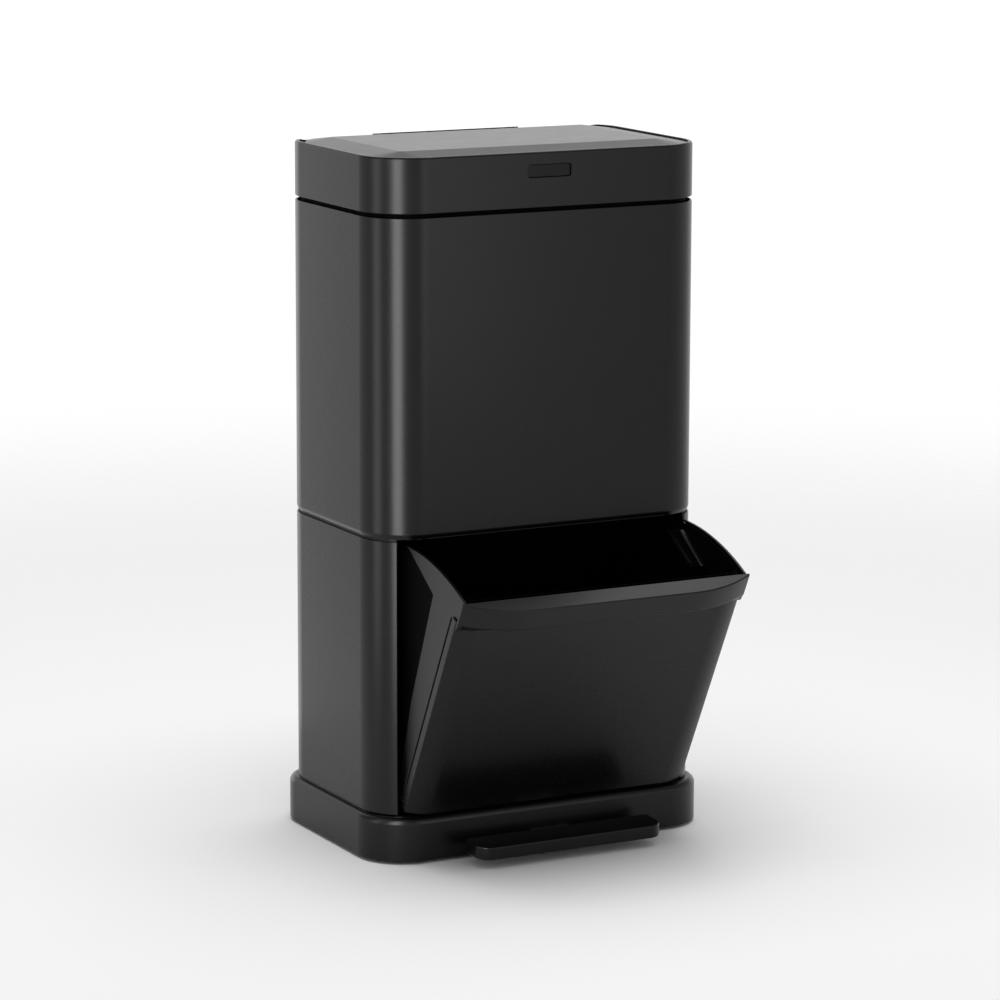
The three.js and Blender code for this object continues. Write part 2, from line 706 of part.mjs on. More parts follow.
place('tilt_panel', tiltPanel(), BLACK_STEEL, shut);
place('tilt_rim', tiltRim(), BLACK_PLASTIC, shut);
place('tilt_floor', tiltFloor(), DEEP_PLASTIC, shut);
place('tilt_backing', tiltBacking(), DEEP_PLASTIC, shut);
place('lower_pail', lowerPail(), PAIL_PLASTIC, shut);
for (const [word, side] of SIDES) {
  place(`tilt_side_${word}`, tiltSide(side), BLACK_PLASTIC, shut);
}

export default bin;
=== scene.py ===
import math

import bmesh
import bpy
from mathutils import Matrix, Vector


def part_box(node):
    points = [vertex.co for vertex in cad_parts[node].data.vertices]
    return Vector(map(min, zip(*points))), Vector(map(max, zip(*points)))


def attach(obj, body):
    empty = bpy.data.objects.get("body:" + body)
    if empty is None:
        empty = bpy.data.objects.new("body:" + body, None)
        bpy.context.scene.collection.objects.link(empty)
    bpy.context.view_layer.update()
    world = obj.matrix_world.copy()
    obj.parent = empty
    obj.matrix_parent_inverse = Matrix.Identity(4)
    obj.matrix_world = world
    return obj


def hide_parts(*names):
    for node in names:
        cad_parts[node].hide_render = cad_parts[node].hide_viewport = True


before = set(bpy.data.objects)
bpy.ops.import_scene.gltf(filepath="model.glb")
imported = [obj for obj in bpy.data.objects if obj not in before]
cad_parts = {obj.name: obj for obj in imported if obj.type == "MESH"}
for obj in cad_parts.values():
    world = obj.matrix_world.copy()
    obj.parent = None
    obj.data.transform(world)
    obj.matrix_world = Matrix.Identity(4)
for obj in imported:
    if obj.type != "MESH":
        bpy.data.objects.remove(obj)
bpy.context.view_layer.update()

MM = 0.001

# ---------------------------------------------------------------- camera

AZIMUTH = math.radians(-27.72)
ELEVATION = math.radians(10.78)
ROLL = math.radians(0.17)
DISTANCE = 4.963
TARGET = Vector((0.0058, -0.0075, 0.3934))


def make_camera():
    data = bpy.data.cameras.new("camera")
    data.sensor_width = 36.0
    data.lens = 149.41
    camera = bpy.data.objects.new("camera", data)
    bpy.context.scene.collection.objects.link(camera)
    bpy.context.scene.camera = camera
    level = math.cos(ELEVATION)
    back = Vector((math.sin(AZIMUTH) * level, -math.cos(AZIMUTH) * level, math.sin(ELEVATION)))
    right = Vector((math.cos(AZIMUTH), math.sin(AZIMUTH), 0.0))
    up = back.cross(right)
    rolled_right = math.cos(ROLL) * right + math.sin(ROLL) * up
    rolled_up = math.cos(ROLL) * up - math.sin(ROLL) * right
    place = TARGET + DISTANCE * back
    turn = Matrix((rolled_right, rolled_up, back)).transposed().to_4x4()
    camera.matrix_world = Matrix.Translation(place) @ turn
    data.clip_end = 100.0


make_camera()

# ---------------------------------------------------------------- driving sizes, in millimetres

SHELL = {"half_w": 215.3, "half_d": 138.9, "radius": 60.0, "y": 0.0}
BASE = {"half_w": 223.2, "half_d": 146.8, "radius": 60.0, "y": 0.0}
COAMING = {"half_w": 172.0, "half_d": 90.0, "radius": 40.0, "y": -14.0}
LINER = {"half_w": 186.0, "half_d": 96.0, "radius": 40.0, "y": -16.0}
LOWER_PAIL = {"half_w": 180.3, "half_d": 113.0, "radius": 14.0, "y": -18.0}
TILT_PIVOT = (-128.0, 52.0)
TILT_OPEN = math.radians(27.5)
TILT_RADIUS = 326.0
TILT_HALF_W = 187.0
TILT_PANEL = (64.5, 349.0)
TILT_RIM = (350.0, 378.0)
DOORWAY_HALF_W = 188.4
BUTTON = {"half_w": 28.5, "low": 794.0, "high": 809.5}
SEAM_X = 62.0
COLLAR_TOP = 824.0
REAR_TOP = 820.4
COLLAR_WALL = 5.2
SHELF = (786.0, 790.0)
COAMING_TOP = 806.0
ROD_HOLE = {"xs": (-8.5, 8.5), "ys": (109.5, 126.5)}
LID_AXIS_Y = 104.0
LID_EDGE = (816.0, 822.0)
LID_TOP = 827.0
LID_INSET = 6.5
LID_BEVEL = 40.0
LID_REAR = {"half_d": 131.0, "radius": 70.0}
SHEET_FLANGE = 9.5
CHEEK_X = (181.0, 184.0)
PAIL_WALL = 3.0
PEDAL = {"half_w": 122.0, "back": -164.0, "front": -207.5, "thickness": 15.5, "middle": 20.5}
PEDAL_SLOPE = math.radians(3.3)
CORNER_STEPS = 24


def node_span(node):
    low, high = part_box(node)
    return low / MM, high / MM


# ---------------------------------------------------------------- mesh helpers

def shrink(base, amount):
    return {
        "half_w": base["half_w"] - amount,
        "half_d": base["half_d"] - amount,
        "radius": max(base["radius"] - amount, 0.6),
        "y": base["y"],
    }


def outline(base, inset=0.0, steps=CORNER_STEPS):
    """Rounded rectangle, counter-clockwise seen from above."""
    b = shrink(base, inset)
    r = b["radius"]
    points = []
    for side_x, side_y, start in ((1, 1, 0), (-1, 1, 90), (-1, -1, 180), (1, -1, 270)):
        for i in range(steps + 1):
            angle = math.radians(start + 90.0 * i / steps)
            x = side_x * (b["half_w"] - r) + r * math.cos(angle)
            y = b["y"] + side_y * (b["half_d"] - r) + r * math.sin(angle)
            points.append((x, y))
    return points


def at_height(points, z):
    return [(x, y, z) for x, y in points]


def new_object(name, verts, faces):
    mesh = bpy.data.meshes.new(name)
    mesh.from_pydata([(x * MM, y * MM, z * MM) for x, y, z in verts], [], faces)
    mesh.update()
    obj = bpy.data.objects.new(name, mesh)
    bpy.context.scene.collection.objects.link(obj)
    bm = bmesh.new()
    bm.from_mesh(mesh)
    bmesh.ops.remove_doubles(bm, verts=bm.verts, dist=1e-7)
    bmesh.ops.recalc_face_normals(bm, faces=bm.faces)
    bm.to_mesh(mesh)
    bm.free()
    return obj


def strip(count, a, b):
    return [(a + i, a + (i + 1) % count, b + (i + 1) % count, b + i) for i in range(count)]


def loft(name, rings):
    """Closed solid through rings of equal length, with flat ends."""
    count = len(rings[0])
    faces = []
    for r in range(len(rings) - 1):
        faces += strip(count, r * count, (r + 1) * count)
    last = (len(rings) - 1) * count
    faces.append(tuple(range(count))[::-1])
    faces.append(tuple(range(last, last + count)))
    return new_object(name, [p for ring in rings for p in ring], faces)


def band(name, base, profile, steps=CORNER_STEPS):
    """Closed band round an outline, from a loop of (inset, height)."""
    rings = [at_height(outline(base, inset, steps), z) for inset, z in profile]
    count = len(rings[0])
    faces = []
    for r in range(len(rings)):
        faces += strip(count, r * count, ((r + 1) % len(rings)) * count)
    return new_object(name, [p for ring in rings for p in ring], faces)


def bent_sheet(name, stations, profile):
    """Open band: each station is (x, y, outward angle in degrees), and profile a loop of (inset, height)."""
    count = len(profile)
    verts = []
    for x, y, degrees in stations:
        a = math.radians(degrees)
        verts += [(x - math.cos(a) * i, y - math.sin(a) * i, z) for i, z in profile]
    faces = []
    for s in range(len(stations) - 1):
        faces += strip(count, s * count, (s + 1) * count)
    faces.append(tuple(range(count))[::-1])
    last = (len(stations) - 1) * count
    faces.append(tuple(range(last, last + count)))
    return new_object(name, verts, faces)


def prism(name, points, low, high, axis="z"):
    """Extruded polygon. Along x, the points are (y, z); along y, they are (x, z)."""
    n = len(points)
    turn = {
        "z": lambda p, t: (p[0], p[1], t),
        "x": lambda p, t: (t, p[0], p[1]),
        "y": lambda p, t: (p[0], t, p[1]),
    }[axis]
    verts = [turn(p, low) for p in points] + [turn(p, high) for p in points]
    faces = strip(n, 0, n) + [tuple(range(n))[::-1], tuple(range(n, 2 * n))]
    return new_object(name, verts, faces)


def block(name, xs, ys, zs):
    return prism(name, [(xs[0], ys[0]), (xs[1], ys[0]), (xs[1], ys[1]), (xs[0], ys[1])], zs[0], zs[1])


def round_rect(cx, cy, half_w, half_h, radius, steps=8):
    base = {"half_w": half_w, "half_d": half_h, "radius": radius, "y": 0.0}
    return [(cx + x, cy + y) for x, y in outline(base, 0.0, steps)]


def arc(cx, cy, radius, start, end, steps):
    points = []
    for i in range(steps + 1):
        a = math.radians(start + (end - start) * i / steps)
        points.append((cx + radius * math.cos(a), cy + radius * math.sin(a)))
    return points


def rod(name, radius, xs, y, z, steps=32):
    return prism(name, arc(y, z, radius, 0, 360 - 360 / steps, steps - 1), xs[0], xs[1], "x")


def apply_modifiers(obj):
    bpy.context.view_layer.update()
    graph = bpy.context.evaluated_depsgraph_get()
    made = bpy.data.meshes.new_from_object(obj.evaluated_get(graph))
    old = obj.data
    obj.modifiers.clear()
    obj.data = made
    bpy.data.meshes.remove(old)
    return obj


def boolean(obj, tools, operation):
    for tool in tools:
        m = obj.modifiers.new("cut", "BOOLEAN")
        m.operation = operation
        m.solver = "EXACT"
        m.object = tool
    apply_modifiers(obj)
    for tool in tools:
        mesh = tool.data
        bpy.data.objects.remove(tool)
        bpy.data.meshes.remove(mesh)
    return obj


def cut(obj, *tools):
    return boolean(obj, tools, "DIFFERENCE")


def add(obj, *tools):
    return boolean(obj, tools, "UNION")


def soften(obj, width, segments=3, angle=35.0):
    m = obj.modifiers.new("soften", "BEVEL")
    m.width = width * MM
    m.segments = segments
    m.limit_method = "ANGLE"
    m.angle_limit = math.radians(angle)
    m.use_clamp_overlap = True
    m.miter_outer = "MITER_ARC"
    return apply_modifiers(obj)


def tilted(obj):
    """Moves a piece drawn with the bin shut to where it stands open."""
    pivot = Vector((0.0, TILT_PIVOT[0] * MM, TILT_PIVOT[1] * MM))
    swing = Matrix.Rotation(TILT_OPEN, 4, "X")
    obj.data.transform(Matrix.Translation(pivot) @ swing @ Matrix.Translation(-pivot))
    return obj


def shade(obj, angle=28.0):
    mesh = obj.data
    mesh.shade_smooth()
    mesh.set_sharp_from_angle(angle=math.radians(angle))
    m = obj.modifiers.new("normals", "WEIGHTED_NORMAL")
    m.keep_sharp = True
    m.weight = 80


def piece(obj, name, body, slot, nodes=(), angle=28.0, look=None):
    obj.name = name
    obj.data.name = name
    shade(obj, angle)
    obj.data.materials.clear()
    obj.data.materials.append(MATERIALS[look or slot])
    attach(obj, body)
    if nodes:
        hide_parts(*nodes)
    return obj


# ---------------------------------------------------------------- materials

def node_material(name, colour, spread, roughness, rough_spread, grain, grain_height,
                  metallic=0.0, specular=0.5):
    """Moulded or coated surface: mottled colour, cloudy gloss and fine grain."""
    mat = bpy.data.materials.new(name)
    mat.use_nodes = True
    nodes, links = mat.node_tree.nodes, mat.node_tree.links
    shader = nodes["Principled BSDF"]
    shader.inputs["Metallic"].default_value = metallic
    shader.inputs["Specular IOR Level"].default_value = specular
    place = nodes.new("ShaderNodeTexCoord")

    def noise(scale, detail, roughen=0.55):
        n = nodes.new("ShaderNodeTexNoise")
        n.inputs["Scale"].default_value = scale
        n.inputs["Detail"].default_value = detail
        n.inputs["Roughness"].default_value = roughen
        links.new(place.outputs["Object"], n.inputs["Vector"])
        return n

    cloud = noise(9.0, 4.0)
    tint = nodes.new("ShaderNodeValToRGB")
    tint.color_ramp.elements[0].position = 0.3
    tint.color_ramp.elements[1].position = 0.7
    tint.color_ramp.elements[0].color = [c * (1 - spread) for c in colour] + [1]
    tint.color_ramp.elements[1].color = [c * (1 + spread) for c in colour] + [1]
    links.new(cloud.outputs["Fac"], tint.inputs["Fac"])
    links.new(tint.outputs["Color"], shader.inputs["Base Color"])

    smear = noise(35.0, 3.0)
    gloss = nodes.new("ShaderNodeMapRange")
    gloss.inputs["From Min"].default_value = 0.3
    gloss.inputs["From Max"].default_value = 0.7
    gloss.inputs["To Min"].default_value = roughness - rough_spread
    gloss.inputs["To Max"].default_value = roughness + rough_spread
    links.new(smear.outputs["Fac"], gloss.inputs["Value"])
    links.new(gloss.outputs["Result"], shader.inputs["Roughness"])

    fine = noise(grain, 2.0)
    bump = nodes.new("ShaderNodeBump")
    bump.inputs["Strength"].default_value = 1.0
    bump.inputs["Distance"].default_value = grain_height
    links.new(fine.outputs["Fac"], bump.inputs["Height"])
    links.new(bump.outputs["Normal"], shader.inputs["Normal"])
    return mat


def grey(value, blue=1.0):
    return (value, value, value * blue)


def black(name, shine, roughness, rough_spread, grain, grain_height, spread=0.12, blue=1.03, value=0.002):
    return node_material(name, grey(value, blue), spread, roughness, rough_spread, grain, grain_height,
                         specular=shine)


MATERIALS = {
    "black_steel": black("black_steel", 0.27, 0.27, 0.008, 1500, 8e-8),
    "black_plastic": black("black_plastic", 0.27, 0.29, 0.01, 2200, 1.5e-7),
    "deep_plastic": black("deep_plastic", 0.2, 0.45, 0.04, 1600, 2e-6, 0.15, 1.0, 0.0018),
    # Painted shade: a darker, almost unreflective copy of the dark plastic, put on the neck groove and on
    # the tub's outer side so that they read as shade.
    "painted_shade_plastic": black("painted_shade_plastic", 0.02, 0.6, 0.05, 1600, 1e-6, 0.15, 1.0, 0.0015),
    "pail_plastic": black("pail_plastic", 0.4, 0.33, 0.03, 1800, 2e-6, 0.15, 1.0, 0.0018),
    "bare_steel": node_material("bare_steel", (0.42, 0.43, 0.44), 0.1, 0.3, 0.07, 900, 4e-6, metallic=1.0),
    "rubber": node_material("rubber", grey(0.006), 0.2, 0.75, 0.08, 700, 3e-5, specular=0.3),
    "nylon": node_material("nylon", grey(0.05), 0.1, 0.45, 0.05, 1200, 8e-6),
}

# ---------------------------------------------------------------- shared profiles

def sheet_profile(low, high, sheet=1.0, hem=8.5, fold=2.2, tuck=0.0):
    """Sheet wall with a rolled hem along its lower and upper edges; tuck turns the lower edge inwards."""
    r = fold / 2
    turns = [math.radians(a) for a in range(0, 181, 30)]
    top = [(r - r * math.cos(a), high - r + r * math.sin(a)) for a in turns]
    bottom = [(tuck + r + r * math.cos(a), low + r - r * math.sin(a)) for a in turns]
    if tuck:
        bottom += [(tuck * (1 - t / 6) ** 2, low + r + 3.5 * tuck * t / 6) for t in range(1, 7)]
    inner = [(fold, high - hem), (fold - 0.5, high - hem - 0.6), (sheet, high - hem - 0.8),
             (sheet, low + hem + 0.8), (fold - 0.5, low + hem + 0.6), (fold + tuck, low + hem)]
    return top + inner + bottom


def corner_run(sign_x, sign_y, start, end, steps, radius=60.0):
    cx = sign_x * (SHELL["half_w"] - SHELL["radius"])
    cy = sign_y * (SHELL["half_d"] - SHELL["radius"])
    return [(x, y, start + (end - start) * i / steps)
            for i, (x, y) in enumerate(arc(cx, cy, radius, start, end, steps))]


def bend_run(x_face, start, end, side, steps=8, radius=2.0):
    """Small bend from the rounded body corner into a flange that faces along x."""
    cx = x_face + side * radius
    along = abs(cx) - (SHELL["half_w"] - SHELL["radius"])
    reach = SHELL["radius"] - radius
    cy = -(SHELL["half_d"] - SHELL["radius"]) - math.sqrt(reach ** 2 - along ** 2)
    return [(x, y, start + (end - start) * i / steps)
            for i, (x, y) in enumerate(arc(cx, cy, radius, start, end, steps))]


def bend_angle(x_face, side, radius=2.0):
    """Direction of the body corner's normal where the small bend meets it, measured from -y."""
    along = abs(x_face + side * radius) - (SHELL["half_w"] - SHELL["radius"])
    return math.degrees(math.asin(along / (SHELL["radius"] - radius)))


# ---------------------------------------------------------------- plinth, shells, neck

def make_plinth():
    top = node_span("base_plinth")[1].z
    bottom = node_span("base_plinth")[0].z
    edge = 8.0
    rings = [at_height(outline(BASE, 3.0), 50.0), at_height(outline(BASE, 3.0), bottom + 0.4),
             at_height(outline(BASE, 2.6), bottom), at_height(outline(BASE, 1.2), bottom),
             at_height(outline(BASE, 0.35), bottom + 0.35), at_height(outline(BASE), bottom + 1.2)]
    for i in range(11):
        a = math.radians(9.0 * i)
        rings.append(at_height(outline(BASE, edge * (1 - math.cos(a))), top - edge * (1 - math.sin(a))))
    rings.append(at_height(outline(BASE, edge + 0.6), top - 0.05))
    rings.append(at_height(outline(BASE, edge + 0.9), top - 0.5))
    rings.append(at_height(outline(BASE, edge + 1.5), top - 0.5))
    rings.append(at_height(outline(BASE, edge + 1.8), top - 0.05))
    rings.append(at_height(outline(BASE, edge + 2.1), top))
    body = loft("plinth", rings)
    tools = [block("t", (-34, 34), (-151, -140), (0, 24.3)),
             block("t", ROD_HOLE["xs"], ROD_HOLE["ys"], (49, 57))]
    for side in (1, -1):
        low, high = sorted((side * 148, side * 160))
        tools.append(block("t", (low, high), (-138, -118), (40, 57)))
    cut(body, *tools)
    return piece(body, "base_plinth_shell", "body", "black_plastic", ["base_plinth"])


def make_lower_shell():
    low, high = (v.z for v in node_span("lower_shell"))
    lean = bend_angle(DOORWAY_HALF_W, 1)
    flange = -119.0
    right = [(DOORWAY_HALF_W, flange, 180)] + bend_run(DOORWAY_HALF_W, 180, 270 + lean, 1)
    right += corner_run(1, -1, -90 + lean, 0, 18)[1:]
    back = corner_run(1, 1, 0, 90, CORNER_STEPS) + corner_run(-1, 1, 90, 180, CORNER_STEPS)
    left = corner_run(-1, -1, 180, 270 - lean, 18)
    left += bend_run(-DOORWAY_HALF_W, 270 - lean, 360, -1)[1:] + [(-DOORWAY_HALF_W, flange, 360)]
    return piece(bent_sheet("lower_shell", right + back + left, sheet_profile(low, high)),
                 "lower_shell_sheet", "body", "black_steel", ["lower_shell"])


def make_upper_shell():
    low, high = (v.z for v in node_span("upper_shell"))
    return piece(band("upper_shell", SHELL, sheet_profile(low, high, tuck=1.6)),
                 "upper_shell_sheet", "body", "black_steel", ["upper_shell"])


def make_back_seam(name, low, high):
    """Folded lock seam down the back of a shell."""
    back = SHELL["half_d"]
    points = [(-5.5, back - 0.6), (-5.5, back + 0.1), (-4.9, back + 0.75), (4.6, back + 0.85),
              (5.3, back + 0.4), (5.5, back - 0.6)]
    seam = prism(name, [(x + SEAM_X, y) for x, y in points], low + 3, high - 3)
    return piece(soften(seam, 0.25, 2), name, "body", "black_steel")


def make_neck():
    low, high = (v.z for v in node_span("neck_ring"))
    profile = [(7.5, low), (7.5, high), (10.5, high), (10.5, low)]
    # The neck band wears the painted-shade plastic, so the groove reads as a dark shaded line.
    return piece(band("neck", SHELL, profile), "neck_band", "body", "deep_plastic", ["neck_ring"],
                 look="painted_shade_plastic")


# ---------------------------------------------------------------- collar, button

def make_collar():
    low, high = (v.z for v in node_span("collar"))
    profile = [(0.8, low), (0.25, low + 0.25), (0.0, low + 0.8)]
    for i in range(9):
        a = math.radians(90.0 * i / 8)
        profile.append((3 - 3 * math.cos(a), high - 3 + 3 * math.sin(a)))
    profile += [(COLLAR_WALL - 0.6, high), (COLLAR_WALL - 0.2, high - 0.2), (COLLAR_WALL, high - 0.6),
                (COLLAR_WALL, low + 0.6), (COLLAR_WALL - 0.6, low)]
    wall = band("collar", SHELL, profile)
    housing = block("t", (-36, 36), (-135, -127.5), (789, 812))
    add(wall, housing)
    middle = (BUTTON["low"] + BUTTON["high"]) / 2
    slot = round_rect(0, middle, BUTTON["half_w"], (BUTTON["high"] - BUTTON["low"]) / 2, 3.0)
    dip = [(112, COLLAR_TOP), (128, REAR_TOP), (145, REAR_TOP), (145, 830), (112, 830)]
    cut(wall, prism("t", slot, -145, -132.5, "y"), prism("t", dip, -230, 230, "x"))
    soften(wall, 0.45, 2, 40)
    return piece(wall, "collar_wall", "body", "black_plastic", ["collar"])


def make_collar_shelf():
    mouth = outline(COAMING, 3.0)
    shelf = prism("shelf", outline(SHELL, 5.0), *SHELF)
    ring = prism("ring", outline(COAMING), SHELF[0] + 2, COAMING_TOP)
    add(shelf, ring)
    cut(shelf, prism("t", mouth, 780, 812), block("t", ROD_HOLE["xs"], ROD_HOLE["ys"], (780, 795)))
    ribs = []
    for side in (1, -1):
        for y in (-70, -14, 42):
            low, high = sorted((side * 171, side * 206))
            ribs.append(block("rib", (low, high), (y - 1, y + 1), (789, 797)))
    add(shelf, *ribs)
    soften(shelf, 0.5, 2, 40)
    return piece(shelf, "collar_shelf", "body", "deep_plastic")


def make_button():
    low, high = node_span("lid_button")
    middle = (low.z + high.z) / 2
    half_w, half_h = (high.x - low.x) / 2 + 0.7, (high.z - low.z) / 2 + 0.7
    rings = []
    steps = ((0.0, high.y), (0.0, low.y + 0.6), (0.2, low.y + 0.18), (0.6, low.y + 0.05), (3.0, low.y))
    for inset, y in steps:
        points = round_rect(0, middle, half_w - inset, half_h - inset, max(2.0 - inset, 0.4))
        rings.append([(x, y, z) for x, z in points])
    return piece(loft("button", rings), "lid_button_cap", "lid_button", "deep_plastic", ["lid_button"])


# ---------------------------------------------------------------- lid

def make_lid():
    edge = shrink(SHELL, LID_INSET)
    flat = shrink(edge, LID_BEVEL)
    flat["radius"] = 4.0
    wall = 2.5
    bottom, edge_top = LID_EDGE
    rise = LID_TOP - edge_top
    rings = [at_height(outline(flat), LID_TOP - wall), at_height(outline(edge, wall), edge_top - wall + 0.1)]
    rings += [at_height(outline(edge, inset), bottom + up)
              for inset, up in ((wall, 0.3), (wall - 0.3, 0.0), (0.3, 0.0), (0.0, 0.3))]
    rings += [at_height(outline(edge, inset), edge_top - down)
              for inset, down in ((0.0, 0.8), (0.12, 0.4), (0.4, 0.12), (0.8, 0.0))]
    slope_top = outline(flat)
    slope_low = outline(edge, 0.8)
    near = 0.985
    rings.append(at_height([(a[0] + (b[0] - a[0]) * near, a[1] + (b[1] - a[1]) * near)
                            for a, b in zip(slope_low, slope_top)], edge_top + rise * near))
    rings.append(at_height([(x * 0.9985, y * 0.998) for x, y in slope_top], LID_TOP))
    lid = loft("lid", rings)
    rear = {"half_w": edge["half_w"], "y": 0.0, **LID_REAR}
    trim = block("t", (-230, 230), (LID_REAR["half_d"] - LID_REAR["radius"], 160), (800, 840))
    cut(trim, prism("t", outline(rear, 0.0, 32), 799, 841))
    cut(lid, block("t", (-94, 94), (LID_AXIS_Y + 2.5, 150), (800, 840)), trim)
    return piece(lid, "lid_cap", "lid", "black_plastic", ["lid_shell"], angle=20)


def make_lid_liner():
    liner = prism("liner", outline(LINER), 812.5, 815.3)
    rim = prism("rim", outline(LINER), 812.5, 821.3)
    cut(rim, prism("t", outline(LINER, 3.0), 800, 830))
    add(liner, rim)
    cut(liner, *[block("t", (-120, 120), (y - 2, y + 2), (812, 813.3)) for y in (-70, -35, 0, 35)])
    soften(liner, 0.5, 2, 40)
    return piece(liner, "lid_inner_tray", "lid", "deep_plastic", ["lid_liner"])


def make_hinge_cover():
    low, high = node_span("hinge_cover")
    foot = 133.4
    side = [(low.y, 822.2), (foot, 822.2), (foot, low.z), (high.y, low.z), (high.y, 823.2), (low.y, high.z)]
    cover = prism("cover", side, low.x, high.x, "x")
    cut(cover, prism("t", [(113.6, 821), (131.4, 821), (131.4, 822.4), (113.6, 824.4)], -89, 89, "x"))
    soften(cover, 0.7, 3, 40)
    return piece(cover, "hinge_cover_cap", "body", "black_plastic", ["hinge_cover"])


# ---------------------------------------------------------------- tilt-out bin, drawn shut

def front_face(x, proud):
    along = max(abs(x) - (SHELL["half_w"] - SHELL["radius"]), 0.0)
    radius = SHELL["radius"] + proud
    return -(SHELL["half_d"] - SHELL["radius"]) - math.sqrt(radius ** 2 - along ** 2)


def across(half, count):
    return [-half * math.cos(math.pi * i / count) for i in range(count + 1)]


def flange_end():
    """Where the front panel's return flanges end, along y."""
    return front_face(TILT_HALF_W - 1, 0) + SHEET_FLANGE


def make_tilt_panel():
    face = TILT_HALF_W - 1
    lean = bend_angle(face, -1)
    end = flange_end()
    stations = [(-face, end, 180)] + bend_run(-face, 180, 270 - lean, 1)
    stations += corner_run(-1, -1, 270 - lean, 270, 10)[1:]
    stations += corner_run(1, -1, 270, 270 + lean, 10)
    stations += bend_run(face, 270 + lean, 360, -1)[1:] + [(face, end, 360)]
    panel = bent_sheet("panel", stations, sheet_profile(*TILT_PANEL, hem=7.0, fold=2.0))
    return piece(tilted(panel), "tilt_panel_sheet", "tilt_bin", "black_steel", ["tilt_panel"])


def lip_front(x):
    along = max(abs(x) - 105.0, 0.0)
    return -158.0 + 170.0 - math.sqrt(170.0 ** 2 - along ** 2)


def make_tilt_rim():
    bottom, top = TILT_RIM
    inner = -134.0
    xs = across(TILT_HALF_W, 56)

    def ring(front_at, back_at, z):
        return ([(x, front_at(x), z) for x in xs] + [(x, back_at(x), z) for x in reversed(xs)])

    def low_front(x):
        return min(front_face(x, -0.5), -134.6)

    def low_back(x):
        return min(front_face(x, -0.9), -134.1)

    def between(share):
        return lambda x: low_front(x) + (lip_front(x) - low_front(x)) * share

    rings = [ring(low_front, low_back, bottom - 11), ring(between(0.9), low_back, bottom - 0.9),
             ring(between(0.975), low_back, bottom - 0.1), ring(lip_front, low_back, bottom + 0.7),
             ring(lip_front, lambda x: inner, bottom + 0.71)]
    for i in range(7):
        a = math.radians(15.0 * i)
        shift = 1.6 * (1 - math.cos(a))
        rise = top - 1.6 * (1 - math.sin(a))
        lift = 0.8 * (1 - math.cos(a)) if i > 3 else 0.0
        rings.append(ring(lambda x, s=shift: lip_front(x) + s, lambda x, b=lift: inner - b, rise))
    rim = loft("rim", rings)
    soften(rim, 0.5, 2, 50)
    return piece(tilted(rim), "tilt_rim_lip", "tilt_bin", "black_plastic", ["tilt_rim"])


def make_tilt_side(side, name, node):
    y0, z0 = TILT_PIVOT
    low = TILT_PANEL[0] + 3
    points = [(-129.6, low), (-104, low), (-80, 190), (-67, 338), (5, 346.5)]
    for i in range(33):
        y = 14 + (-133.7 - 14) * i / 32
        points.append((y, z0 + math.sqrt(TILT_RADIUS ** 2 - (y - y0) ** 2)))
    points += [(-133.7, TILT_RIM[0]), (-129.6, TILT_RIM[0])]
    plate = prism("side", points, *sorted(side * x for x in CHEEK_X), "x")
    groove = (flange_end() + 0.6, flange_end() + 6.4)
    cut(plate, block("t", sorted((side * 182.2, side * 186)), groove, (low + 2, TILT_RIM[0] - 6)))
    soften(plate, 0.5, 3, 14)
    return piece(tilted(plate), name, "tilt_bin", "black_plastic", [node])


def sweep_rod(radius):
    return rod("sweep", radius, (-250, 250), TILT_PIVOT[0], TILT_PIVOT[1], 256)


def make_lower_pail():
    """Tub whose rim is cut to the swing of its top, with a slanting dished grip in each side."""
    bottom, top, wall = 69.4, 376.0, PAIL_WALL
    draft = 2.0
    rings = [at_height(outline(LOWER_PAIL, wall + draft), bottom + wall),
             at_height(outline(LOWER_PAIL, wall), top),
             at_height(outline(LOWER_PAIL), top), at_height(outline(LOWER_PAIL, draft), bottom + 4),
             at_height(outline(LOWER_PAIL, draft + 1.2), bottom + 1.2),
             at_height(outline(LOWER_PAIL, draft + 4), bottom)]
    pail = loft("pail", rings)
    for side, name in ((1, "right"), (-1, "left")):
        x = side * LOWER_PAIL["half_w"]
        grip = prism("grip", [(-45, 317), (25, 322), (-5, 345), (-67, 338)],
                     *sorted((x - side * 11, x - side * 2.5)), "x")
        soften(grip, 2.2, 4, 40)
        dish = prism("dish", [(-41, 321.3), (40, 327), (10, 341.5), (-59, 334.6)],
                     *sorted((x - side * 14, x - side * 7.4)), "x")
        soften(dish, 1.2, 3, 40)
        cut(grip, dish)
        piece(tilted(grip), "lower_pail_grip_" + name, "tilt_bin", "pail_plastic")
    boolean(pail, [sweep_rod(TILT_RADIUS - 2)], "INTERSECT")
    step = prism("step", outline(LOWER_PAIL, -2), 240, 400)
    cut(step, prism("t", outline(LOWER_PAIL, 2.3), 230, 410), sweep_rod(TILT_RADIUS - 5))
    cut(pail, step)
    soften(pail, 0.25, 2, 45)
    # The tub wears the painted-shade plastic, so its outer side seen behind the cheeks reads as shade.
    return piece(tilted(pail), "lower_pail_tub", "tilt_bin", "pail_plastic", ["lower_pail"],
                 look="painted_shade_plastic")


